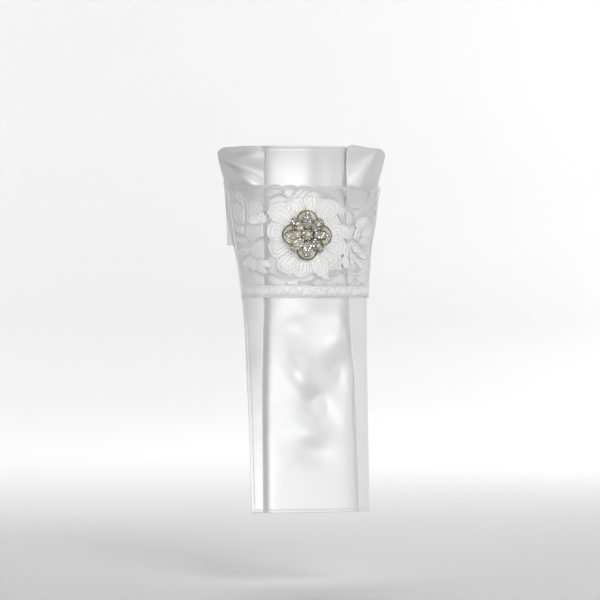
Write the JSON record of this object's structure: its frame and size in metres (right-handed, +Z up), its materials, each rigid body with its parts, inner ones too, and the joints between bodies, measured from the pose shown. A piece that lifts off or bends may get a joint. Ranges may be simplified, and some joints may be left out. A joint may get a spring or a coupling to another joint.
{
  "type": "stock tie",
  "caption": "Ready-tied riding stock tie: satin neck band and pleated plastron with a scalloped lace band and a jewelled quatrefoil brooch.",
  "frame": {"origin": "on the axis of the neck at the base of the neck, 4 mm under the neck band's lower edge", "axes": "+Z up along the neck, the front faces -Y, +X to the right as seen from the front"},
  "size_m": [0.155, 0.1614, 0.3286],
  "materials": {
    "satin": "soft satin sheen",
    "lace": "matte cotton net with raised cord",
    "fastener": "matte hook-and-loop tape",
    "brooch_metal": "antiqued pale gold plate",
    "crystal": "cut and foiled crystal"
  },
  "bodies": {
    "root": {"neck_band": "satin", "band_fastener": "fastener", "centre_panel": "satin", "left_pleat": "satin", "right_pleat": "satin", "lace_band": "lace", "brooch_setting": "brooch_metal", "brooch_pin": "brooch_metal", "brooch_centre_stone": "crystal", "brooch_corner_stone_1": "crystal", "brooch_corner_stone_2": "crystal", "brooch_corner_stone_3": "crystal", "brooch_corner_stone_4": "crystal"}
  },
  "joints": []
}
